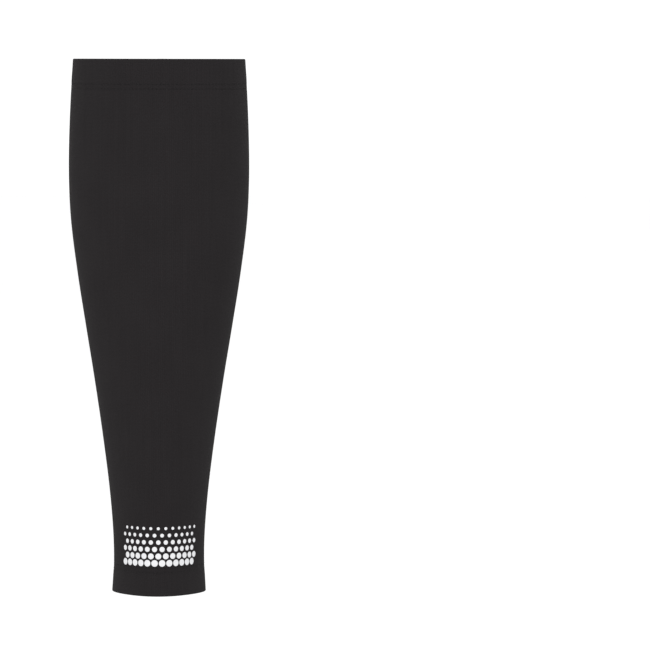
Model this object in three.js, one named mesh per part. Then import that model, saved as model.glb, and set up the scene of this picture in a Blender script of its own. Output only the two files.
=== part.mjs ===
// A calf compression sleeve: a knitted tube, open at both ends, in the form that it has on the leg.
// Millimetres. +Z runs up the leg, the shin faces -Y and the calf muscle +Y.
// The origin is on the axis of the leg, level with the widest part of the calf.

import * as THREE from 'three';

// Driving dimensions of the worn sleeve
const sleeveLength = 346;
const calfWidth = 117;
const shinDepth = 52;
const calfDepth = 68;

// Driving dimensions of the cloth and its hems
const fabricThickness = 1;
const topHemHeight = 17.5;
const ankleHemHeight = 17.5;
const layerClearance = 0.3;

// The level of the widest calf, a share of the length above the ankle edge
const widestLevel = 0.78;

// Fineness of the surfaces
const sidesAround = 48;
const bandsAlongBody = 27;
const bandsAlongHem = 2;
const foldSteps = 4;

const blackKnit = { color: '#2b292a', roughness: 0.92, metalness: 0 };
const turnedKnit = { color: '#2e2c2d', roughness: 0.95, metalness: 0 };

// The form of the leg. A level is a share of the length above the ankle edge. The width is a share of
// half the calf's width, the front a share of the shin's depth and the back a share of the calf's depth.
// The ridges say how far the flanks beside the shin and beside the calf or its tendon are drawn in,
// as a share of the depth there, and a negative one fills them out.
const legSections = [
  { level: 0.00, width: 0.522, front: 0.730, back: 0.605, shinRidge: 0.26, backRidge: 0.10 },
  { level: 0.05, width: 0.504, front: 0.700, back: 0.575, shinRidge: 0.26, backRidge: 0.12 },
  { level: 0.10, width: 0.507, front: 0.700, back: 0.570, shinRidge: 0.25, backRidge: 0.13 },
  { level: 0.18, width: 0.542, front: 0.730, back: 0.595, shinRidge: 0.23, backRidge: 0.12 },
  { level: 0.28, width: 0.613, front: 0.780, back: 0.655, shinRidge: 0.20, backRidge: 0.09 },
  { level: 0.40, width: 0.716, front: 0.850, back: 0.750, shinRidge: 0.17, backRidge: 0.05 },
  { level: 0.50, width: 0.812, front: 0.900, back: 0.840, shinRidge: 0.14, backRidge: 0.02 },
  { level: 0.60, width: 0.905, front: 0.950, back: 0.925, shinRidge: 0.12, backRidge: 0.00 },
  { level: 0.70, width: 0.978, front: 0.985, back: 0.985, shinRidge: 0.10, backRidge: -0.02 },
  { level: widestLevel, width: 1.000, front: 1.000, back: 1.000, shinRidge: 0.10, backRidge: -0.02 },
  { level: 0.88, width: 0.991, front: 1.010, back: 0.975, shinRidge: 0.10, backRidge: 0.00 },
  { level: 1.00, width: 0.955, front: 1.000, back: 0.905, shinRidge: 0.11, backRidge: 0.02 }
];

const formColumns = ['width', 'front', 'back', 'shinRidge', 'backRidge'];
const legForm = new THREE.CubicInterpolant(
  legSections.map((row) => row.level),
  legSections.flatMap((row) => formColumns.map((column) => row[column])),
  formColumns.length
);

const calfLevel = widestLevel * sleeveLength;

// The fold at each edge is half a turn of cloth with the clearance between its two layers
const foldOuterRadius = fabricThickness + layerClearance / 2;
const foldInnerRadius = layerClearance / 2;

// The point of the leg at a height above the ankle edge and an angle round the leg from +X, moved
// inwards by the inset. The section is an ellipse whose front and back halves have their own depths,
// each drawn in beside its middle, which gives the ridge of the shin.
function legPoint(height, angle, inset) {
  const [width, front, back, shinRidge, backRidge] = legForm.evaluate(height / sleeveLength);
  const across = Math.cos(angle);
  const along = Math.sin(angle);
  const halfWidth = width * calfWidth / 2;
  const depth = along > 0 ? back * calfDepth : front * shinDepth;
  const ridge = along > 0 ? backRidge : shinRidge;
  const x = halfWidth * across;
  const y = depth * along * (1 - ridge * across ** 2);
  const xTurn = -halfWidth * along;
  const yTurn = depth * across * (1 - ridge * across ** 2 + 2 * ridge * along ** 2);
  const outward = new THREE.Vector2(yTurn, -xTurn).normalize();
  return [x - inset * outward.x, y - inset * outward.y, height - calfLevel];
}

// Carries a closed profile once round the leg. The profile's outer side runs upwards.
function carryRoundLeg(profile) {
  const positions = [];
  for (const { height, inset } of profile) {
    for (let side = 0; side < sidesAround; side += 1) {
      const angle = 2 * Math.PI * side / sidesAround;
      positions.push(...legPoint(height, angle, inset));
    }
  }
  const triangles = [];
  for (let ring = 0; ring < profile.length; ring += 1) {
    const start = ring * sidesAround;
    const above = (ring + 1) % profile.length * sidesAround;
    for (let side = 0; side < sidesAround; side += 1) {
      const next = (side + 1) % sidesAround;
      triangles.push(start + side, start + next, above + next);
      triangles.push(start + side, above + next, above + side);
    }
  }
  const geometry = new THREE.BufferGeometry();
  geometry.setAttribute('position', new THREE.Float32BufferAttribute(positions, 3));
  geometry.setIndex(triangles);
  geometry.computeVertexNormals();
  return geometry;
}

// Profile points at one inset, evenly spaced from one height to another
function layerLine(from, to, inset, bands) {
  const points = [];
  for (let band = 0; band <= bands; band += 1) {
    points.push({ height: THREE.MathUtils.lerp(from, to, band / bands), inset });
  }
  return points;
}

// Profile points on the half turn of a fold. Up is 1 at the top edge and -1 at the ankle edge.
function foldArc(centreHeight, up, radius) {
  const points = [];
  for (let step = 0; step <= foldSteps; step += 1) {
    const turn = Math.PI * step / foldSteps;
    const height = centreHeight + up * radius * Math.sin(turn);
    const inset = foldOuterRadius - radius * Math.cos(turn);
    points.push({ height, inset });
  }
  return points;
}

// The outer layer of the tube, from the lip of the ankle fold to the lip of the top fold
function makeSleeveBody() {
  const ankleFold = foldOuterRadius;
  const topFold = sleeveLength - foldOuterRadius;
  const profile = [
    ...foldArc(ankleFold, -1, foldOuterRadius).reverse(),
    ...layerLine(ankleFold, topFold, 0, bandsAlongBody).slice(1, -1),
    ...foldArc(topFold, 1, foldOuterRadius),
    ...foldArc(topFold, 1, foldInnerRadius).reverse(),
    ...layerLine(topFold, ankleFold, fabricThickness, bandsAlongBody).slice(1, -1),
    ...foldArc(ankleFold, -1, foldInnerRadius)
  ];
  return new THREE.Mesh(carryRoundLeg(profile), new THREE.MeshStandardMaterial(blackKnit));
}

// The end of the tube turned back inside, a band between two heights against the outer layer
function makeHemBand(low, high) {
  const outerInset = fabricThickness + layerClearance;
  const innerInset = outerInset + fabricThickness;
  const profile = [
    ...layerLine(low, high, outerInset, bandsAlongHem),
    ...layerLine(high, low, innerInset, bandsAlongHem)
  ];
  return new THREE.Mesh(carryRoundLeg(profile), new THREE.MeshStandardMaterial(turnedKnit));
}

const foldLip = foldOuterRadius + layerClearance;

const sleeveBody = makeSleeveBody();
sleeveBody.name = 'sleeve_body';

const topHem = makeHemBand(sleeveLength - topHemHeight, sleeveLength - foldLip);
topHem.name = 'top_hem';

const ankleHem = makeHemBand(foldLip, ankleHemHeight);
ankleHem.name = 'ankle_hem';

const calfSleeve = new THREE.Group();
calfSleeve.name = 'calf_sleeve';
calfSleeve.add(sleeveBody, topHem, ankleHem);

export default calfSleeve;
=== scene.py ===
"""A calf compression sleeve in its worn form: a lesson in modelling thin cloth in Blender with numpy."""

# %% [markdown]
# # A calf compression sleeve
# The sleeve is a tapered tube of fine black knit that is pulled up over the calf for running. It has no parts
# that move, so everything that makes it look real is cloth: the form that the leg gives it, the edges that
# are turned in and stitched, the closed seam at the back, and a small reflective print above the ankle.
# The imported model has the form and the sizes. This script loads it, measures it, and dresses it.

import bmesh
import bpy
import numpy as np
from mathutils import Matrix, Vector


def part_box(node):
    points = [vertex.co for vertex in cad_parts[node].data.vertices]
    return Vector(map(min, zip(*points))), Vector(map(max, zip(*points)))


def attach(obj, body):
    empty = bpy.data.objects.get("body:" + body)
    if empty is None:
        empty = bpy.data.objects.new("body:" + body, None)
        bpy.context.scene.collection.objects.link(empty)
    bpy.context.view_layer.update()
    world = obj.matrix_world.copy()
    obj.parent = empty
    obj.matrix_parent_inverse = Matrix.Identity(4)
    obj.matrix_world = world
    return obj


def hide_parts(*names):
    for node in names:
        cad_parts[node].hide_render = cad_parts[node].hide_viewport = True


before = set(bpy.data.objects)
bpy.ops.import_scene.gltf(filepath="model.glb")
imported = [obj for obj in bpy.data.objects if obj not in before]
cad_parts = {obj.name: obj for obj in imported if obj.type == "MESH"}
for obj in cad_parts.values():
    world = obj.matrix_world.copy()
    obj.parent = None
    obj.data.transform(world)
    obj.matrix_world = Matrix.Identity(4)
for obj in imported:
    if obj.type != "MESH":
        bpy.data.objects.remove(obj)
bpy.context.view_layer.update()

MM = 0.001
body_low, body_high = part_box("sleeve_body")
ANKLE_Z = body_low.z
LENGTH = body_high.z - body_low.z
print(f"packed sleeve: {LENGTH / MM:.1f} mm long, {(body_high.x - body_low.x) / MM:.1f} mm wide")

# %% [markdown]
# ## The form of the leg
# A stretched tube takes the form of what is in it, so the sleeve's form is the leg's. A short table of
# sections gives it, in shares of the sleeve's own sizes. It could be drawn as a handful of curves and lofted,
# but a table with a smooth curve through each column is easy to read, and any point of the leg can then be
# asked for, which the stitches and the print need later.

# %% Sections of the leg
# Columns: level, width, depth at the shin, depth at the calf, ridge of the shin, ridge of the tendon.
# A level is a share of the length above the ankle edge, and the width and the depths are shares of the
# sleeve's greatest ones. A ridge is how far its flanks are drawn in, as a share of the depth.
LEG_SECTIONS = np.array([
    (0.00, 0.522, 0.730, 0.605, 0.26, 0.10),
    (0.05, 0.504, 0.700, 0.575, 0.26, 0.12),
    (0.10, 0.507, 0.700, 0.570, 0.25, 0.13),
    (0.18, 0.542, 0.730, 0.595, 0.23, 0.12),
    (0.28, 0.613, 0.780, 0.655, 0.20, 0.09),
    (0.40, 0.716, 0.850, 0.750, 0.17, 0.05),
    (0.50, 0.812, 0.900, 0.840, 0.14, 0.02),
    (0.60, 0.905, 0.950, 0.925, 0.12, 0.00),
    (0.70, 0.978, 0.985, 0.985, 0.10, -0.02),
    (0.78, 1.000, 1.000, 1.000, 0.10, -0.02),
    (0.88, 0.991, 1.010, 0.975, 0.10, 0.00),
    (1.00, 0.955, 1.000, 0.905, 0.11, 0.02),
])
HEIGHTS_TRIED = 2001


def leg_section(height):
    """Width, shin depth, calf depth and the two ridges at a height above the ankle edge. Between two rows
    of the table each column is a cubic curve whose slope at a row is the mean of the slopes beside it."""
    level, value = LEG_SECTIONS[:, 0], LEG_SECTIONS[:, 1:]
    steps = np.diff(value, axis=0) / np.diff(level)[:, None]
    slope = np.vstack([steps[:1], (steps[:-1] + steps[1:]) / 2, steps[-1:]])
    at = np.clip(np.asarray(height, float) / LENGTH, 0, 1)
    row = np.clip(np.searchsorted(level, at, side="right") - 1, 0, len(level) - 2)
    gap = (level[row + 1] - level[row])[..., None]
    p = (at - level[row])[..., None] / gap
    q = 1 - p
    return (value[row] * (1 + 2 * p) * q**2 + value[row + 1] * (1 + 2 * q) * p**2
            + gap * p * q * (slope[row] * q - slope[row + 1] * p))


widest = leg_section(np.linspace(0, LENGTH, HEIGHTS_TRIED)).max(axis=0)
HALF_WIDTH = (body_high.x - body_low.x) / 2 / widest[0]
SHIN_DEPTH = -body_low.y / widest[1]
CALF_DEPTH = body_high.y / widest[2]
print(f"calf {2 * HALF_WIDTH / MM:.1f} mm wide, {(SHIN_DEPTH + CALF_DEPTH) / MM:.1f} mm deep")

# %% [markdown]
# ## Points by arc and height
# Cloth doesn't know angles. Its stitches and its knitted columns are evenly spaced along the cloth itself, so
# every later shape asks for a point by two lengths: how far round from the middle of the shin, and how high
# above the ankle edge. Equal steps of angle would do on a round tube, but on this section they would crowd
# some stitches and stretch others. So a lookup table turns an arc into the angle that has run that far.


# %% The outline of one section
def outline(section, turn):
    """Place and outward direction, in plan, at an angle from the middle of the shin. The section is an
    ellipse whose front and back halves have their own depths, each drawn in beside its middle."""
    width, front, back, shin, tendon = np.moveaxis(section, -1, 0)
    across, ahead = np.sin(turn), np.cos(turn)
    depth = np.where(ahead > 0, front * SHIN_DEPTH, back * CALF_DEPTH)
    ridge = np.where(ahead > 0, shin, tendon)
    half = width * HALF_WIDTH
    x = half * across
    y = -depth * ahead * (1 - ridge * across**2)
    out_x = depth * across * (1 - ridge * across**2 + 2 * ridge * ahead**2)
    out_y = -half * ahead
    size = np.hypot(out_x, out_y)
    return x, y, out_x / size, out_y / size


# %% The lookup table from arc to angle
TABLE_LEVELS, TABLE_ANGLES, TABLE_SHARES = 241, 1441, 721

table_heights = np.linspace(0, LENGTH, TABLE_LEVELS)
table_turns = np.linspace(-np.pi, np.pi, TABLE_ANGLES)
ring_x, ring_y, _, _ = outline(leg_section(table_heights)[:, None, :], table_turns[None, :])
steps_round = np.hypot(np.diff(ring_x, axis=1), np.diff(ring_y, axis=1))
run_round = np.hstack([np.zeros((TABLE_LEVELS, 1)), np.cumsum(steps_round, axis=1)])
table_girths = run_round[:, -1]
share_grid = np.linspace(0, 1, TABLE_SHARES)
turn_table = np.array([np.interp(share_grid, run / run[-1], table_turns) for run in run_round])


def girth(height):
    """Length once round the outside of the sleeve at a height."""
    return np.interp(height, table_heights, table_girths)


def turn_at(height, arc):
    """Angle from the middle of the shin to the point an arc away, read between the four nearest entries of
    the lookup table. A positive arc goes towards +X."""
    level = np.clip(height / LENGTH, 0, 1) * (TABLE_LEVELS - 1)
    share = (arc / girth(height) + 0.5) % 1 * (TABLE_SHARES - 1)
    i = np.minimum(level.astype(int), TABLE_LEVELS - 2)
    j = np.minimum(share.astype(int), TABLE_SHARES - 2)
    p, q = level - i, share - j
    low = turn_table[i, j] * (1 - q) + turn_table[i, j + 1] * q
    high = turn_table[i + 1, j] * (1 - q) + turn_table[i + 1, j + 1] * q
    return low * (1 - p) + high * p


# %% Points of the leg
def leg_point(height, arc, inset=0.0):
    """Point at a height and an arc, moved inwards by the inset along the outward direction in plan."""
    height, arc, inset = np.broadcast_arrays(*(np.asarray(v, float) for v in (height, arc, inset)))
    x, y, out_x, out_y = outline(leg_section(height), turn_at(height, arc))
    return np.stack([x - inset * out_x, y - inset * out_y, ANKLE_Z + height], -1)


def leg_outward(height, arc):
    """Outward direction in plan at a height and an arc."""
    height, arc = np.broadcast_arrays(np.asarray(height, float), np.asarray(arc, float))
    _, _, out_x, out_y = outline(leg_section(height), turn_at(height, arc))
    return np.stack([out_x, out_y, np.zeros_like(out_x)], -1)


print(f"girth: ankle edge {girth(0) / MM:.0f} mm, calf {table_girths.max() / MM:.0f} mm, "
      f"top edge {girth(LENGTH) / MM:.0f} mm")

# %% [markdown]
# ## From numbers to a mesh
# Every piece here is a grid of points, or many small grids. Cylinders and discs could be bent into most of
# them with modifiers, but in a grid each point is put where the cloth's own lengths say. One helper turns
# grids into a mesh: four neighbours make a face. Grids that close on themselves repeat their first line of
# points. Tips where a whole line of points falls together are welded, so that each piece is one closed skin.

# %% The grid helper
MAP_NAME = "ClothMap"
WELD = 1e-7


def with_first(grid, axis):
    """The grid with its first line of points repeated after its last one."""
    return np.concatenate([grid, np.take(grid, [0], axis=axis)], axis=axis)


def weld_and_face_outwards(mesh):
    """Merges points that fall together, and turns every face of the closed skin outwards."""
    shape = bmesh.new()
    shape.from_mesh(mesh)
    bmesh.ops.remove_doubles(shape, verts=shape.verts, dist=WELD)
    bmesh.ops.recalc_face_normals(shape, faces=shape.faces)
    shape.to_mesh(mesh)
    shape.free()


def make_piece(name, points, uv, materials, close_rows=False, material_index=None, weld=False):
    """A mesh object over grids of points, shaped (grids, rows, columns, 3), that close along their columns.
    The uv grid has one more column, and one more row if the rows close too, so that it can run on."""
    grids, rows, columns = points.shape[:3]
    index = np.arange(grids * rows * columns).reshape(grids, rows, columns)
    index = with_first(index, 2)
    index = with_first(index, 1) if close_rows else index
    corners = [(slice(None, -1), slice(None, -1)), (slice(None, -1), slice(1, None)),
               (slice(1, None), slice(1, None)), (slice(1, None), slice(None, -1))]
    faces = np.stack([index[:, a, b] for a, b in corners], -1).reshape(-1, 4)
    loop_uv = np.stack([uv[:, a, b] for a, b in corners], -2).reshape(-1, 2)
    mesh = bpy.data.meshes.new(name)
    mesh.from_pydata(points.reshape(-1, 3), [], faces)
    layer = mesh.uv_layers.new(name=MAP_NAME)
    layer.data.foreach_set("uv", loop_uv.astype(np.float32).ravel())
    for material in materials:
        mesh.materials.append(material)
    if material_index is not None:
        mesh.polygons.foreach_set("material_index", material_index.astype(np.int32).ravel())
    if weld:
        weld_and_face_outwards(mesh)
    mesh.shade_smooth()
    piece = bpy.data.objects.new(name, mesh)
    bpy.context.scene.collection.objects.link(piece)
    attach(piece, "root")
    print(f"{name}: {len(mesh.polygons)} faces")
    return piece


# %% [markdown]
# ## One length of cloth, folded at both ends
# Both edges are made alike. The end of the tube is turned in, and two needles sew it down on either side of
# its raw edge. The cloth is then two layers thick at the edges and one in between, and it never stops: it can
# be followed from one raw edge, round the ankle fold, up the outside, round the top fold and down to the
# other raw edge. So the profile is that one line, and the cloth is half its thickness on either side of it.
# A solidified sheet would do for the middle, but its folds would pinch.

# %% Sizes of the cloth and its hems
# Each needle row's distance from the raw edge of its hem. The row with a minus sign is on the double cloth,
# the other one is beyond the raw edge, on the single cloth.
TOP_NEEDLES_FROM_EDGE = np.array([-1.2, 1.8]) * MM
ANKLE_NEEDLES_FROM_EDGE = np.array([-2.3, 0.7]) * MM
CLOTH = 0.7 * MM
LAYER_GAP = 0.1 * MM
TOP_HEM = body_high.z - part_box("top_hem")[0].z
ANKLE_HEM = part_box("ankle_hem")[1].z - body_low.z

top_needles = LENGTH - TOP_HEM - TOP_NEEDLES_FROM_EDGE
ankle_needles = ANKLE_HEM + ANKLE_NEEDLES_FROM_EDGE
needle_heights = np.concatenate([top_needles, ankle_needles])
print("needle rows below the top edge:", np.round((LENGTH - top_needles) / MM, 1), "mm")
print("needle rows above the ankle edge:", np.round(ankle_needles / MM, 1), "mm")

# %% Heights that crowd where the needles go
COARSE_STEP, FINE_STEP, FINE_REACH = 3.4 * MM, 0.4 * MM, 1.2 * MM
HEIGHTS_SEARCHED = 6001


def spread(start, end):
    """Heights from start to end, a coarse step apart that closes up to a fine one near the needle rows."""
    line = np.linspace(start, end, HEIGHTS_SEARCHED)
    away = np.abs(line[:, None] - needle_heights).min(axis=1)
    ease = np.clip(away / FINE_REACH - 1, 0, 1)
    step = FINE_STEP + (COARSE_STEP - FINE_STEP) * ease**2
    run = np.concatenate([[0], np.cumsum(np.abs(np.diff(line)) / step[1:])])
    count = int(np.ceil(run[-1]))
    return np.interp(np.linspace(0, run[-1], count + 1), run, line)


# %% The line through the middle of the cloth
# The outer layer lies half the cloth's thickness inside the sleeve's form. The turned layer lies two fold
# radii further in, and each fold is half a circle between the two.
FOLD_POINTS = 9

fold_centre = CLOTH + LAYER_GAP / 2
fold_radius = (CLOTH + LAYER_GAP) / 2
fold_turn = np.linspace(0, np.pi, FOLD_POINTS)
fold_rise = fold_radius * np.sin(fold_turn)
fold_inset = fold_centre + fold_radius * np.cos(fold_turn)

ankle_turned = spread(ANKLE_HEM, fold_centre)[:-1]
outside = spread(fold_centre, LENGTH - fold_centre)[1:-1]
top_turned = spread(LENGTH - fold_centre, LENGTH - TOP_HEM)[1:]
line_height = np.concatenate([
    ankle_turned, fold_centre - fold_rise, outside, LENGTH - fold_centre + fold_rise, top_turned])
line_inset = np.concatenate([
    np.full(len(ankle_turned), fold_centre + fold_radius), fold_inset,
    np.full(len(outside), fold_centre - fold_radius), fold_inset[::-1],
    np.full(len(top_turned), fold_centre + fold_radius)])

# %% Its length and the side that its face is on
line_ahead = np.stack([np.gradient(line_height), np.gradient(line_inset)], -1)
line_ahead /= np.linalg.norm(line_ahead, axis=-1, keepdims=True)
line_face = np.stack([line_ahead[:, 1], -line_ahead[:, 0]], -1)
line_run = np.concatenate([[0], np.cumsum(np.hypot(np.diff(line_height), np.diff(line_inset)))])
outside_start = line_run[len(ankle_turned) + FOLD_POINTS - 1] - fold_centre
CLOTH_LENGTH = line_run[-1]
print(f"cloth from raw edge to raw edge: {CLOTH_LENGTH / MM:.0f} mm, in {len(line_run)} rows")

# %% [markdown]
# ## What sewing does to the cloth
# A thread under tension pulls the cloth in along its row, and a little over the whole band between the two
# rows. Next to that band, towards the fold, the double cloth swells. Where the tube is closed at the back,
# the two edges of the panel are sewn flat, overlapped, which leaves a low raised band, and the folds at the
# two edges press that band down again. All of it is less than half a millimetre, but it is what the eye reads
# as sewn. A bump pattern could draw it, but it wouldn't show where the cloth is seen from its side. So the
# relief is a height added to the cloth's face, and threads laid on that face later follow by themselves.

# %% Sizes of the low relief
NEEDLE_PULL, NEEDLE_WIDTH = 0.11 * MM, 0.60 * MM
BAND_PULL, BAND_WIDTH = 0.05 * MM, 2.2 * MM
HEM_SWELL, HEM_SWELL_WIDTH, HEM_SWELL_OFF = 0.12 * MM, 5.0 * MM, 6.0 * MM
# Small waves beside the rows: their height, their reach, how many go once round, and how they bunch up
PUCKER, PUCKER_REACH = 0.06 * MM, 7.0 * MM
TOP_PUCKERS, ANKLE_PUCKERS = 31, 19
BUNCHING, BUNCHES = 1.7, 3
# The back seam: half its width, its slope, its height, and its needle rows
SEAM_HALF, SEAM_EASE, SEAM_RAISE = 2.6 * MM, 0.7 * MM, 0.34 * MM
SEAM_NEEDLE, SEAM_PULL, SEAM_PULL_WIDTH = 1.9 * MM, 0.16 * MM, 0.4 * MM
FOLD_PRESS, FOLD_REACH = 0.85, 3.0 * MM
# The slow unevenness is the sum of two waves, one that mostly climbs and one that winds round the leg
UNEVEN = 0.10 * MM
CLIMBING_WAVE, CLIMBING_SWAY = 31 * MM, 2.2
WINDING_WAVE, WINDING_TURNS, WINDING_SHARE = 43 * MM, 4, 0.6

# %% Where the relief lies along the cloth
outside_needles = outside_start + needle_heights
turned_needles = np.array([-ANKLE_NEEDLES_FROM_EDGE[0], CLOTH_LENGTH + TOP_NEEDLES_FROM_EDGE[0]])
all_needles = np.concatenate([outside_needles, turned_needles])
band_middles = outside_needles.reshape(2, 2).mean(axis=1)
swell_middles = band_middles + np.array([HEM_SWELL_OFF, -HEM_SWELL_OFF])
fold_tops = np.array([outside_start + fold_centre - np.pi * fold_radius / 2,
                      outside_start + LENGTH - fold_centre + np.pi * fold_radius / 2])


def bump(distance, width):
    """A smooth bump, 1 where the distance is zero, that falls off as a bell of this width."""
    return np.exp(-((distance / width) ** 2))


def level_ended(share):
    """A climb from 0 to 1 that starts and ends level: three times the square less twice the cube."""
    return share**2 * (3 - 2 * share)


def from_seam(height, arc):
    """Distance from the middle of the back seam, signed, for an arc that may run past it."""
    half = girth(height) / 2
    return (arc + 2 * half) % (2 * half) - half


def pressed(run):
    """How far the cloth is pressed flat at the folds: a bell that is highest on each edge of the sleeve."""
    return FOLD_PRESS * bump(np.asarray(run)[..., None] - fold_tops, FOLD_REACH).sum(-1)


# %% The relief of the cloth's face
def relief(run, height, arc):
    """Height of the cloth's face over its plain form. The hems add bells: a swell, less a narrow one at each
    needle row and a wide one between the rows, with waves round the leg. The seam's raised band and a slow
    unevenness are added to that, less what the folds press flat."""
    rows = bump(run[..., None] - all_needles, NEEDLE_WIDTH).sum(-1)
    bands = bump(run[..., None] - band_middles, BAND_WIDTH).sum(-1)
    swells = bump(run[..., None] - swell_middles, HEM_SWELL_WIDTH).sum(-1)
    turn = 2 * np.pi * arc / girth(height)
    puckers = np.where(height > LENGTH / 2, TOP_PUCKERS, ANKLE_PUCKERS)
    waves = bump(run[..., None] - outside_needles, PUCKER_REACH).sum(-1) / 2
    waves = waves * np.sin(puckers * turn + BUNCHING * np.sin(BUNCHES * turn))
    sewn = HEM_SWELL * swells - NEEDLE_PULL * rows - BAND_PULL * bands + PUCKER * waves
    across = np.abs(from_seam(height, arc))
    ease = np.clip((SEAM_HALF + SEAM_EASE - across) / SEAM_EASE, 0, 1)
    seam = SEAM_RAISE * level_ended(ease) - SEAM_PULL * bump(across - SEAM_NEEDLE, SEAM_PULL_WIDTH)
    slow = (np.sin(height / CLIMBING_WAVE + CLIMBING_SWAY * np.sin(turn))
            + WINDING_SHARE * np.sin(WINDING_TURNS * turn - height / WINDING_WAVE))
    return sewn + (1 - pressed(run)) * (seam + UNEVEN * slow / 2)


# %% A point of the cloth
def on_face(lift):
    """True where a lift off the cloth's face is nearer to its face than to its back."""
    return lift > -CLOTH / 2


def cloth_point(run, arc, lift=0.0):
    """Point at a length along the cloth and an arc round the leg, lifted off the cloth's face. A lift of
    minus the cloth's thickness is on its back, which has no relief."""
    run, arc, lift = np.broadcast_arrays(*(np.asarray(v, float) for v in (run, arc, lift)))
    height = np.interp(run, line_run, line_height)
    inset = np.interp(run, line_run, line_inset)
    face_up = np.interp(run, line_run, line_face[:, 0])
    face_in = np.interp(run, line_run, line_face[:, 1])
    off = CLOTH / 2 + lift + relief(run, height, arc) * on_face(lift)
    return leg_point(height + face_up * off, arc, inset + face_in * off)


# %% [markdown]
# ## The knit
# The cloth is a fine warp knit of polyester and elastane. Its face shows columns of small V shaped loops,
# called wales, and its back shows short threads that lie across. Real loops modelled as thread would take
# millions of faces, so they are a bump pattern instead, with painted shade that darkens the gaps between
# them. It reads the cloth's own map, which is laid out in metres along the cloth, so a loop has the same size
# everywhere and turns inside with the hems. The wales run straight up the shin and end at the back seam,
# where the panel was cut. The loops are drawn about twice as large as real ones, because the textures of an
# exported model can't hold finer ones.

# %% Helpers for patterns
NOISE_DETAIL, FUZZ_DETAIL = 2.0, 4.0


def math_node(tree, operation, *values):
    """One Math node. Each value is a plain number or the output of another node."""
    node = tree.nodes.new("ShaderNodeMath")
    node.operation = operation
    for socket, value in zip(node.inputs, values):
        if isinstance(value, bpy.types.NodeSocket):
            tree.links.new(value, socket)
        else:
            socket.default_value = value
    return node.outputs[0]


def noise_of(tree, place, size, detail=NOISE_DETAIL):
    """Noise whose blotches are about this size, on the given place."""
    node = tree.nodes.new("ShaderNodeTexNoise")
    tree.links.new(place, node.inputs["Vector"])
    tree.links.new(math_node(tree, "DIVIDE", 1.0, size), node.inputs["Scale"])
    node.inputs["Detail"].default_value = detail
    return node.outputs[0]


def new_group(name, inputs, outputs):
    """An empty node group with named number inputs, each with its usual value, a vector input Place, and
    named number outputs. Returns the group with its input and output nodes."""
    group = bpy.data.node_groups.new(name, "ShaderNodeTree")
    group.interface.new_socket("Place", in_out="INPUT", socket_type="NodeSocketVector")
    for label, usual in inputs.items():
        group.interface.new_socket(label, in_out="INPUT", socket_type="NodeSocketFloat").default_value = usual
    for label in outputs:
        group.interface.new_socket(label, in_out="OUTPUT", socket_type="NodeSocketFloat")
    return group, group.nodes.new("NodeGroupInput"), group.nodes.new("NodeGroupOutput")


# %% The loops of the knit
# Across a wale the height is a round ridge, the root of a sine. Along it the loops follow one another as a
# cosine that lags towards the wale's edges, which draws each loop as a V.
FACE_WALE, FACE_COURSE, FACE_LAG = 1.2 * MM, 0.85 * MM, 0.8
LOOP_SWING, LOOP_MEAN = 0.32, 0.68

loops, given, result = new_group(
    "knit_loops", {"Wale": FACE_WALE, "Course": FACE_COURSE, "Lag": FACE_LAG}, ["Height"])
split = loops.nodes.new("ShaderNodeSeparateXYZ")
loops.links.new(given.outputs["Place"], split.inputs[0])
wale_at = math_node(loops, "DIVIDE", split.outputs["X"], given.outputs["Wale"])
course_at = math_node(loops, "DIVIDE", split.outputs["Y"], given.outputs["Course"])
across = math_node(loops, "FRACT", wale_at)
ridge = math_node(loops, "SQRT", math_node(loops, "SINE", math_node(loops, "MULTIPLY", across, np.pi)))
from_middle = math_node(loops, "ABSOLUTE", math_node(loops, "SUBTRACT", across, 0.5))
lag = math_node(loops, "MULTIPLY", from_middle, given.outputs["Lag"])
turns = math_node(loops, "MULTIPLY", math_node(loops, "ADD", course_at, lag), 2 * np.pi)
loop = math_node(loops, "MULTIPLY_ADD", math_node(loops, "COSINE", turns), LOOP_SWING, LOOP_MEAN)
loops.links.new(math_node(loops, "MULTIPLY", ridge, loop), result.inputs["Height"])
print(f"{loops.name}: {len(loops.nodes)} nodes, usual loop {FACE_WALE / MM:.2f} by {FACE_COURSE / MM:.2f} mm")

# %% The unevenness of yarn and dye
# Slow blotches a few centimetres wide, faint streaks along the wales where one yarn took the dye
# differently, and a fine fuzz. Each is noise times its weight, and the three add up to about a half.
BLOTCH_WEIGHT, STREAK_WEIGHT, FUZZ_WEIGHT = 0.16, 0.14, 0.70
STREAK_DRAW = 0.03

uneven, given, result = new_group(
    "yarn_variation", {"Blotch": 30 * MM, "Streak": 2.2 * MM, "Fuzz": 0.7 * MM}, ["Value"])
blotches = noise_of(uneven, given.outputs["Place"], given.outputs["Blotch"])
drawn_out = uneven.nodes.new("ShaderNodeVectorMath")
drawn_out.operation = "MULTIPLY"
drawn_out.inputs[1].default_value = (1, STREAK_DRAW, 1)
uneven.links.new(given.outputs["Place"], drawn_out.inputs[0])
streaks = noise_of(uneven, drawn_out.outputs[0], given.outputs["Streak"])
fuzz = noise_of(uneven, given.outputs["Place"], given.outputs["Fuzz"], FUZZ_DETAIL)
both = math_node(uneven, "MULTIPLY_ADD", streaks, STREAK_WEIGHT,
                 math_node(uneven, "MULTIPLY", blotches, BLOTCH_WEIGHT))
uneven.links.new(math_node(uneven, "MULTIPLY_ADD", fuzz, FUZZ_WEIGHT, both), result.inputs["Value"])
print(f"{uneven.name}: {len(uneven.nodes)} nodes")
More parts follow.
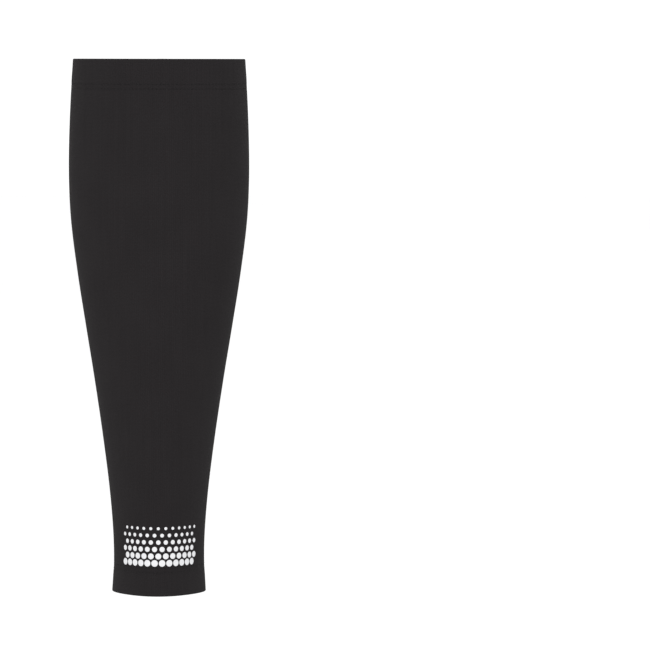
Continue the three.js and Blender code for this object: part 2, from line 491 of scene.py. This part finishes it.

# %% [markdown]
# ## Cloth and thread materials
# A black knit is matt, yet it is never one flat black. Seen straight on, the dark gaps between the loops
# swallow light. Seen along the surface, the yarn mirrors its pale surroundings softly, so the sleeve is
# lighter towards its outline. A rough shader with a weak reflection does that, and a trace of sheen stands
# for the fibres that stand off the loops. One even black would do from far away, but close up it would look
# like plastic, so the dye varies the colour and the gaps between the loops are darkened with painted shade.
# The back of the knit is the same yarn with longer loose threads: a touch lighter, and rougher.


# %% Helpers for materials
def new_material(name, specular):
    """A material with nodes. Returns it with its node tree and its shader."""
    material = bpy.data.materials.new(name)
    material.use_nodes = True
    shader = material.node_tree.nodes["Principled BSDF"]
    shader.inputs["IOR"].default_value = 1.5
    shader.inputs["Specular IOR Level"].default_value = specular
    return material, material.node_tree, shader


def cloth_place(tree):
    """The place on a piece's own map, in metres along the cloth or the thread."""
    node = tree.nodes.new("ShaderNodeUVMap")
    node.uv_map = MAP_NAME
    return node.outputs["UV"]


def colour_between(tree, first, second, share):
    """A colour that runs from the first one to the second as the share goes from 0 to 1."""
    mix = tree.nodes.new("ShaderNodeMix")
    mix.data_type = "RGBA"
    mix.inputs["A"].default_value = (*first, 1)
    mix.inputs["B"].default_value = (*second, 1)
    tree.links.new(share, mix.inputs["Factor"])
    return mix.outputs["Result"]


def bumped_normal(tree, height, depth):
    """The surface's direction where a height from 0 to 1 is raised by this depth."""
    node = tree.nodes.new("ShaderNodeBump")
    node.inputs["Distance"].default_value = depth
    node.inputs["Strength"].default_value = 1.0
    tree.links.new(height, node.inputs["Height"])
    return node.outputs["Normal"]


# %% The material of a yarn
# The variation's values are bunched round a half, so they are spread out from these two. A gap between loops
# gets a part of the dye's lightness, which is painted shade, and the top of a loop gets all of it.
DYE_FROM, DYE_TO = 0.26, 0.74
SHADED_GAP_SHARE, LIT_LOOP_SHARE = 0.30, 0.70
YARN_SPECULAR, SHEEN_ROUGHNESS = 0.1, 0.45
ROUGHNESS_SPREAD = 0.1
FUZZ_RELIEF = 0.35


def yarn_material(name, dark, light, roughness, sheen, wale, course, lag, depth):
    """Matt yarn: colour from dark to light with the dye and with painted shade between loops; bump of loops
    and fuzz.
    """
    material, tree, shader = new_material(name, YARN_SPECULAR)
    shader.inputs["Sheen Weight"].default_value = sheen
    shader.inputs["Sheen Roughness"].default_value = SHEEN_ROUGHNESS
    place = cloth_place(tree)
    variation = tree.nodes.new("ShaderNodeGroup")
    variation.node_tree = uneven
    pattern = tree.nodes.new("ShaderNodeGroup")
    pattern.node_tree = loops
    for label, value in (("Wale", wale), ("Course", course), ("Lag", lag)):
        pattern.inputs[label].default_value = value
    for node in (variation, pattern):
        tree.links.new(place, node.inputs["Place"])
    dye, loop_height = variation.outputs["Value"], pattern.outputs["Height"]
    spread_out = tree.nodes.new("ShaderNodeMapRange")
    spread_out.inputs["From Min"].default_value = DYE_FROM
    spread_out.inputs["From Max"].default_value = DYE_TO
    tree.links.new(dye, spread_out.inputs["Value"])
    # Painted shade: the colour darkens into the gaps between the loops, by the loop height.
    painted_gap_shade = math_node(tree, "MULTIPLY_ADD", loop_height, LIT_LOOP_SHARE, SHADED_GAP_SHARE)
    lightness = math_node(tree, "MULTIPLY", spread_out.outputs[0], painted_gap_shade)
    tree.links.new(colour_between(tree, dark, light, lightness), shader.inputs["Base Color"])
    uneven_gloss = math_node(tree, "MULTIPLY_ADD", dye, ROUGHNESS_SPREAD, roughness - ROUGHNESS_SPREAD / 2)
    tree.links.new(uneven_gloss, shader.inputs["Roughness"])
    height = math_node(tree, "MULTIPLY_ADD", dye, FUZZ_RELIEF, loop_height)
    tree.links.new(bumped_normal(tree, height, depth), shader.inputs["Normal"])
    print(f"{name}: loops {wale / MM:.2f} by {course / MM:.2f} mm, {depth / MM:.2f} mm deep")
    return material


# %% Make the cloth and thread materials
knit_face = yarn_material("black_knit_face", (0.0082, 0.0071, 0.0076), (0.0222, 0.0198, 0.0208),
                          roughness=0.94, sheen=0.003, wale=FACE_WALE, course=FACE_COURSE, lag=FACE_LAG,
                          depth=0.12 * MM)
knit_back = yarn_material("black_knit_back", (0.0128, 0.0117, 0.0122), (0.0275, 0.0253, 0.0262),
                          roughness=0.95, sheen=0.012, wale=1.8 * MM, course=0.8 * MM, lag=0.3,
                          depth=0.12 * MM)
thread_yarn = yarn_material("stitch_thread", (0.0062, 0.0056, 0.0059), (0.0155, 0.0145, 0.0150),
                            roughness=0.78, sheen=0.01, wale=0.35 * MM, course=0.5 * MM, lag=2.0,
                            depth=0.04 * MM)

# %% [markdown]
# ## The sleeve's cloth
# The rows of the grid are the places along the cloth's line, first on its face and then back on its other
# side, so the grid closes into one skin with thickness. The columns go round the leg. Nine of them on each
# side of the back seam stay at fixed distances from it, close enough to draw its band, and the others share
# out what is left of the girth. Even columns would be simpler, but they would wander across the seam as the
# leg gets narrower.

# %% Rows and columns of the cloth
SEAM_COLUMNS = np.linspace(0, 4.5, 10) * MM
FREE_COLUMNS = 196


def column_arcs(height):
    """Arcs of the columns at these heights, from the seam round the front and back to the seam."""
    half = girth(height)[:, None] / 2
    free = np.linspace(-1, 1, FREE_COLUMNS) * (half - SEAM_COLUMNS[-1])
    return np.hstack([SEAM_COLUMNS[:-1] - half, free, half - SEAM_COLUMNS[-2::-1]])


row_run = np.concatenate([line_run, line_run[::-1]])
row_lift = np.repeat([0, -CLOTH], len(line_run))
row_arcs = column_arcs(np.interp(row_run, line_run, line_height))
cloth_points = cloth_point(row_run[:, None], row_arcs[:, :-1], row_lift[:, None])
cloth_uv = np.stack(np.broadcast_arrays(row_arcs, row_run[:, None]), -1)
# The faces past the line's end are the cloth's back, but for the last ones, which close the raw edge
is_back = np.zeros((len(row_run), row_arcs.shape[1] - 1))
is_back[len(line_run):-1] = 1
print(f"cloth grid: {len(row_run)} rows of {row_arcs.shape[1] - 1} points")

# %% Make the cloth
SHARP_FROM = np.radians(60)

cloth = make_piece("sleeve_cloth", cloth_points[None], with_first(cloth_uv[None], 1), [knit_face, knit_back],
                   close_rows=True, material_index=is_back)
cloth.data.set_sharp_from_angle(angle=SHARP_FROM)
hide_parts("sleeve_body", "top_hem", "ankle_hem")

# %% [markdown]
# ## Thread
# Black thread on black cloth shows only by its relief and by the small highlights along each stitch, so the
# stitches are real geometry. A stitch is a short tube that comes up out of the cloth, runs a little over two
# millimetres and goes down again, so its two ends are pressed in and taper to a point. A curve object
# with a round bevel would do the same, but one numpy function draws hundreds of stitches at once.

# %% Tubes along many lines at once
THREAD, THREAD_SIDES = 0.36 * MM, 6
THREAD_FLATNESS, TIP_BLUNTNESS = 0.8, 5
MAP_SHIFT = 7.3 * MM


def tubes(lines, outward, thickness, closed=False):
    """Tubes round many lines of points, shaped (tubes, points, 3). Each ring is an ellipse in the plane
    across the line, lower in the outward direction than it is wide. Open tubes shrink to a point at both
    ends, by the root of one less a high power of the distance from their middle."""
    if closed:
        ahead = np.roll(lines, -1, axis=1) - np.roll(lines, 1, axis=1)
    else:
        ahead = np.gradient(lines, axis=1)
    ahead /= np.linalg.norm(ahead, axis=-1, keepdims=True)
    across = np.cross(ahead, outward)
    across /= np.linalg.norm(across, axis=-1, keepdims=True)
    up = np.cross(across, ahead)
    turn = np.arange(THREAD_SIDES) * 2 * np.pi / THREAD_SIDES
    from_middle = np.abs(2 * np.linspace(0, 1, lines.shape[1]) - 1)
    size = np.ones_like(from_middle) if closed else np.sqrt(np.clip(1 - from_middle**TIP_BLUNTNESS, 0, 1))
    radius = (thickness / 2 * size)[None, :, None, None]
    ring = (np.cos(turn)[:, None] * across[:, :, None]
            + THREAD_FLATNESS * np.sin(turn)[:, None] * up[:, :, None])
    return lines[:, :, None] + radius * ring


def tube_uv(count, points, length, closed=False):
    """Map for tubes: round the thread and along it, in metres, with each tube started elsewhere."""
    round_it = np.linspace(0, np.pi * THREAD, THREAD_SIDES + 1)
    along = np.linspace(0, length, points + closed)
    start = np.arange(count) * MAP_SHIFT
    grid = np.broadcast_arrays(round_it[None, None, :], (along[None, :] + start[:, None])[:, :, None])
    return np.stack(grid, -1)


def join(parts):
    """Points and maps of several sets of tubes that have the same number of points, as one set."""
    return tuple(np.concatenate(arrays) for arrays in zip(*parts))


# %% [markdown]
# ## Stitching of the two hems
# A cover stitch uses two needles and a looper. On the outside it shows two rows of short straight stitches.
# On the inside the looper thread crosses from row to row over the raw edge, which binds it flat.
# One stitch could be copied along a circle, but no row here is a circle, and the cloth under it is pulled in
# and puckered. So each row is worked out on the cloth itself, with a whole number of stitches round the leg.

# %% Needle stitches
STITCH, STITCH_SHARE, STITCH_POINTS = 2.6 * MM, 0.84, 9
STITCH_CROWN, STITCH_DIP = 0.28, 1.05


def stitch_arch(share):
    """Height of a stitch over the cloth's face: highest in its middle, less a cube that presses both ends in
    below the face."""
    return THREAD * (STITCH_CROWN - STITCH_DIP * np.abs(share) ** 3)


def needle_row(run):
    """Stitches of one needle row round the tube, at a length along the cloth."""
    height = np.interp(run, line_run, line_height)
    count = int(round(girth(height) / STITCH))
    pitch = girth(height) / count
    share = np.linspace(-1, 1, STITCH_POINTS)
    arc = (np.arange(count)[:, None] + 0.5 * STITCH_SHARE * share) * pitch
    line = cloth_point(run, arc, stitch_arch(share)[None, :])
    return tubes(line, leg_outward(height, arc), THREAD), tube_uv(count, STITCH_POINTS, STITCH)


# %% Looper threads
LOOPER_POINTS, LOOPER_REACH, LOOPER_ROUNDNESS = 8, 1.7 * MM, 0.7
CLIMB_FROM, CLIMB_RUN = -0.5 * MM, 1.0 * MM
LOOPER_LIFT = 0.25 * THREAD


def held_wave(swing, roundness):
    """The wave with its crests held longer: its sign times its size to a power below one."""
    return np.sign(swing) * np.abs(swing) ** roundness


def looper_row(edge, needles_from_edge, towards_fold, phase):
    """The looper's thread round the inside, crossing the raw edge: a wave between the two needle rows that
    climbs from the single cloth on to the turned cloth. towards_fold is 1 for up and -1 for down."""
    count = int(round(girth(edge) / STITCH))
    share = np.arange(count * LOOPER_POINTS) / (count * LOOPER_POINTS)
    swing = np.cos(2 * np.pi * (share * count + phase))
    off = LOOPER_REACH * held_wave(swing, LOOPER_ROUNDNESS) - needles_from_edge.mean()
    climb = np.clip((off - CLIMB_FROM) / CLIMB_RUN, 0, 1)
    inset = CLOTH + (CLOTH + LAYER_GAP) * level_ended(climb) + LOOPER_LIFT
    height = edge + towards_fold * off
    arc = share * girth(edge)
    line = leg_point(height, arc, inset)[None]
    outward = -leg_outward(height, arc)[None]
    return tubes(line, outward, THREAD, closed=True), tube_uv(1, line.shape[1], girth(edge), closed=True)


# %% Make the hem stitches
def hem_pieces(name, rows, edge, needles_from_edge, towards_fold):
    """The needle stitches and the looper threads of one hem."""
    points, uv = join([needle_row(row) for row in rows])
    needles = make_piece(f"{name}_needle_stitches", points, uv, [thread_yarn], weld=True)
    points, uv = join([looper_row(edge, needles_from_edge, towards_fold, phase) for phase in (0.0, 0.5)])
    looper = make_piece(f"{name}_looper_thread", points, uv, [thread_yarn], close_rows=True,
                        weld=True)
    return [needles, looper]


stitches = hem_pieces("top_hem", outside_needles[:2], LENGTH - TOP_HEM, TOP_NEEDLES_FROM_EDGE, 1)
stitches += hem_pieces("ankle_hem", outside_needles[2:], ANKLE_HEM, ANKLE_NEEDLES_FROM_EDGE, -1)

# %% [markdown]
# ## Stitching of the back seam
# The panel is closed with a flat seam, the kind used next to the skin because it has no ridge inside.
# Outside it shows two needle rows with a cover thread that wanders between them, and inside the same wave
# again. It is sewn before the hems are turned, so it runs on round both folds to the raw edges. A straight
# row on the outside would end at the folds, so the threads are carried along the line through the cloth
# instead. On the folds they are pressed into the cloth.

# %% Lines along the seam
SEAM_STITCH, SEAM_MARGIN = 2.3 * MM, 0.6 * MM
SEAM_SINK = 0.6 * THREAD

seam_count = int((CLOTH_LENGTH - 2 * SEAM_MARGIN) / SEAM_STITCH)
seam_pitch = (CLOTH_LENGTH - 2 * SEAM_MARGIN) / seam_count
print(f"back seam: {seam_count} stitches {seam_pitch / MM:.2f} mm apart")


def seam_line(run, offset, lift):
    """Points along the back seam at an offset to its side, and the outward direction of the cloth there."""
    run, offset, lift = np.broadcast_arrays(run, offset, lift)
    height = np.interp(run, line_run, line_height)
    arc = girth(height) / 2 + offset
    face_up = np.interp(run, line_run, line_face[:, 0])[..., None]
    face_in = np.interp(run, line_run, line_face[:, 1])[..., None]
    outward = face_up * np.array([0.0, 0.0, 1.0]) - face_in * leg_outward(height, arc)
    sunk = lift - SEAM_SINK * pressed(run) * on_face(lift)
    return cloth_point(run, arc, sunk), outward


# %% Make the seam stitches
COVER_POINTS, COVER_ROUNDNESS = 7, 0.8
COVER_THREAD, COVER_LIFT = 0.9 * THREAD, 0.2 * THREAD


def seam_needles(offset):
    """One needle row of the seam: arched stitches end to end along the cloth."""
    share = np.linspace(-1, 1, STITCH_POINTS)
    middle = SEAM_MARGIN + (np.arange(seam_count) + 0.5) * seam_pitch
    run = middle[:, None] + 0.5 * STITCH_SHARE * seam_pitch * share
    line, outward = seam_line(run, offset, stitch_arch(share)[None, :])
    return tubes(line, outward, THREAD), tube_uv(seam_count, STITCH_POINTS, SEAM_STITCH)


def seam_cover(phase, lift):
    """The cover thread: a wave from one needle row of the seam to the other, along its whole length."""
    run = np.linspace(SEAM_MARGIN, CLOTH_LENGTH - SEAM_MARGIN, seam_count * COVER_POINTS)
    swing = np.cos(2 * np.pi * ((run - SEAM_MARGIN) / seam_pitch + phase))
    line, outward = seam_line(run, SEAM_NEEDLE * held_wave(swing, COVER_ROUNDNESS), lift)
    flip = 1 if on_face(lift) else -1
    return tubes(line[None], flip * outward[None], COVER_THREAD), tube_uv(1, len(run), CLOTH_LENGTH)


points, uv = join([seam_needles(-SEAM_NEEDLE), seam_needles(SEAM_NEEDLE)])
seam_rows = make_piece("back_seam_needle_stitches", points, uv, [thread_yarn], weld=True)
points, uv = join([seam_cover(0.0, COVER_LIFT), seam_cover(0.5, COVER_LIFT),
                   seam_cover(0.25, -CLOTH - COVER_LIFT)])
seam_threads = make_piece("back_seam_cover_thread", points, uv, [thread_yarn], weld=True)
stitches += [seam_rows, seam_threads]

# %% [markdown]
# ## The reflective print
# Running wear has a patch of reflective film low on the leg, where the light of a lamp finds it. Here it is
# a plain field of dots that shrink row by row. Each dot is cut from a film about an eighth of a
# millimetre thick and pressed on hot, so it has a soft rim and follows the cloth. It could be painted on by
# a mask in the cloth's material, but then it would have no edge to catch the light. So a dot is a disc drawn
# in the cloth's own two lengths, which are looked up on the sleeve like every other point. Its rim goes down
# into the cloth, and the disc is closed underneath, so each dot is a solid of its own.

# %% The reflective film
# Glass beads finer than a hair, set in a silver white resin: a grain in the colour and a very fine bump.
# Slow patches, where the film is a little worn, change the colour and the roughness.
BEAD, PATCH = 0.16 * MM, 3.0 * MM
BEAD_SHARE, FRESH = 0.5, 0.2
FILM_FRESH, FILM_WORN = (0.64, 0.64, 0.65), (0.54, 0.54, 0.555)
FILM_ROUGHNESS, FILM_ROUGHNESS_SPREAD = 0.42, 0.2
BEAD_DEPTH = 0.02 * MM

film, tree, shader = new_material("reflective_film", specular=0.5)
place = cloth_place(tree)
beads = tree.nodes.new("ShaderNodeTexVoronoi")
beads.inputs["Scale"].default_value = 1 / BEAD
patches = tree.nodes.new("ShaderNodeTexNoise")
patches.inputs["Scale"].default_value = 1 / PATCH
for node in (beads, patches):
    tree.links.new(place, node.inputs["Vector"])
worn = math_node(tree, "MULTIPLY_ADD", beads.outputs["Distance"], BEAD_SHARE, patches.outputs[0])
worn = math_node(tree, "SUBTRACT", worn, FRESH)
tree.links.new(colour_between(tree, FILM_FRESH, FILM_WORN, worn), shader.inputs["Base Color"])
gloss = math_node(tree, "MULTIPLY_ADD", patches.outputs[0], FILM_ROUGHNESS_SPREAD, FILM_ROUGHNESS)
tree.links.new(gloss, shader.inputs["Roughness"])
tree.links.new(bumped_normal(tree, beads.outputs["Distance"], BEAD_DEPTH), shader.inputs["Normal"])
print(f"{film.name}: beads {BEAD / MM:.2f} mm apart")

# %% Make the print
DOT_ROWS, DOT_COLUMNS, DOT_SIDES = 6, 12, 24
DOT_PITCH, DOT_ROW_PITCH, DOT_STAGGER = 4.9 * MM, 4.5 * MM, 0.5
DOT_LARGE, DOT_SMALL = 4.3 * MM, 2.0 * MM
PRINT_MIDDLE = np.array([2.0, 32.7]) * MM
FILM = 0.13 * MM
# Rings of a dot from the middle of its top over the rim to the middle of its underside
RING_REACH = np.array([0.0, 0.6, 0.88, 1.0, 1.02, 0.0])
RING_LIFT = np.array([1.0, 1.0, 0.85, 0.4, -0.6, -0.6]) * FILM

row_of, column_of = (grid.ravel() for grid in np.mgrid[0:DOT_ROWS, 0:DOT_COLUMNS])
dot_size = DOT_LARGE + (DOT_SMALL - DOT_LARGE) * row_of / (DOT_ROWS - 1)
column_shift = DOT_STAGGER * (row_of % 2 - 0.5)
dot_arc = PRINT_MIDDLE[0] + (column_of - (DOT_COLUMNS - 1) / 2 + column_shift) * DOT_PITCH
dot_height = PRINT_MIDDLE[1] + (row_of - (DOT_ROWS - 1) / 2) * DOT_ROW_PITCH

dot_turn = np.arange(DOT_SIDES) * 2 * np.pi / DOT_SIDES
reach = dot_size[:, None, None] / 2 * RING_REACH[None, :, None]
dot_x = dot_arc[:, None, None] - reach * np.cos(dot_turn)
dot_z = dot_height[:, None, None] + reach * np.sin(dot_turn)
dot_points = cloth_point(outside_start + dot_z, dot_x, RING_LIFT[None, :, None])
dots = make_piece("reflective_dots", dot_points, with_first(np.stack([dot_x, dot_z], -1), 2), [film],
                  weld=True)

# %% [markdown]
# ## The cloth and what is sewn on it
# The panel is cut about a fifth narrower than the leg, which is what makes the sleeve press.

# %% [markdown]
# ## Camera
# The picture was taken from far away with a long lens, level with the top edge, so that edge is a straight
# line and the ankle edge hangs in a shallow curve. The sleeve is left of the middle of the picture, so the
# camera stands to the right of it and looks straight ahead. It could stand opposite the sleeve with its lens
# shifted, but then it would see a little less of the sleeve's right side. The picture leans by about an
# eighth of a degree, and so does the camera.

# %% Place the camera
IMAGE_SIDE, SENSOR, FAR = 650, 36.0, 100
PIXEL = 0.6487 * MM
DISTANCE = 3.2
AXIS_PIXEL, TOP_PIXEL = 159.4, 59.1
LEAN = -np.radians(0.12)

side = (IMAGE_SIDE / 2 - AXIS_PIXEL) * PIXEL
tilt = np.arctan((IMAGE_SIDE / 2 - TOP_PIXEL) * PIXEL / DISTANCE)
camera_data = bpy.data.cameras.new("camera")
camera_data.sensor_width = SENSOR
camera_data.lens = SENSOR * DISTANCE / (IMAGE_SIDE * PIXEL)
camera_data.clip_end = FAR
camera = bpy.data.objects.new("camera", camera_data)
camera.location = Vector((side, -DISTANCE, ANKLE_Z + LENGTH))
camera.rotation_euler = (np.pi / 2 - tilt, LEAN, 0)
bpy.context.scene.collection.objects.link(camera)
bpy.context.scene.camera = camera
print(f"camera: {camera_data.lens:.0f} mm lens, tilted down {np.degrees(tilt):.1f} degrees")

# %% [markdown]
# ## Studio
# White all round, as in a light tent, with one large soft lamp nearly in front, a little to the left and
# above, and a weak one on the right. The white sides of the tent are what lightens the outline of the dark
# cloth. White walls could be built round it, but a white world does the same. The floor is a wide pale disc
# well below the ankle edge, because the sleeve is held up as a leg would hold it.

# %% Light
TENT_COLOUR, TENT_STRENGTH = (1.0, 1.0, 1.0, 1), 1.1
SLEEVE_MIDDLE = (0, 0, -0.1)
LAMP_SIDE = 1.4

scene = bpy.context.scene
scene.view_settings.view_transform = "Standard"
world = bpy.data.worlds.new("light_tent")
world.use_nodes = True
world.node_tree.nodes["Background"].inputs["Color"].default_value = TENT_COLOUR
world.node_tree.nodes["Background"].inputs["Strength"].default_value = TENT_STRENGTH
scene.world = world


def soft_lamp(name, place, watts):
    """A square area lamp at a place, turned towards the middle of the sleeve."""
    data = bpy.data.lights.new(name, "AREA")
    data.size = LAMP_SIDE
    data.energy = watts
    lamp = bpy.data.objects.new(name, data)
    lamp.location = place
    lamp.rotation_euler = (Vector(SLEEVE_MIDDLE) - Vector(place)).to_track_quat("-Z", "Y").to_euler()
    scene.collection.objects.link(lamp)
    print(f"{name}: {watts} W, {(Vector(SLEEVE_MIDDLE) - Vector(place)).length:.1f} m away")


soft_lamp("key_lamp", (-0.5, -2.9, 1.1), watts=44)
soft_lamp("fill_lamp", (2.2, -1.2, 0.8), watts=4)

# %% Floor
FLOOR_Z, FLOOR_RADIUS, FLOOR_SIDES = -0.40, 14.0, 96
FLOOR_ROUGHNESS, FLOOR_SPECULAR, DUST_SCALE = 0.9, 0.1, 3.0
PAPER_DULL, PAPER_BRIGHT = (0.90, 0.90, 0.90), (0.93, 0.93, 0.93)

floor_material, tree, shader = new_material("pale_floor", FLOOR_SPECULAR)
shader.inputs["Roughness"].default_value = FLOOR_ROUGHNESS
floor_place = tree.nodes.new("ShaderNodeTexCoord")
dust = tree.nodes.new("ShaderNodeTexNoise")
dust.inputs["Scale"].default_value = DUST_SCALE
tree.links.new(floor_place.outputs["Object"], dust.inputs["Vector"])
paper = colour_between(tree, PAPER_DULL, PAPER_BRIGHT, dust.outputs[0])
tree.links.new(paper, shader.inputs["Base Color"])

floor_turn = np.linspace(0, 2 * np.pi, FLOOR_SIDES, endpoint=False)
floor_rim = np.stack([np.cos(floor_turn), np.sin(floor_turn), np.zeros_like(floor_turn)], -1) * FLOOR_RADIUS
floor_mesh = bpy.data.meshes.new("floor")
floor_mesh.from_pydata(floor_rim + np.array([0, 0, FLOOR_Z]), [], [list(range(FLOOR_SIDES))])
floor_mesh.materials.append(floor_material)
floor = bpy.data.objects.new("floor", floor_mesh)
scene.collection.objects.link(floor)
print(f"floor: {(ANKLE_Z - FLOOR_Z) / MM:.0f} mm below the ankle edge")
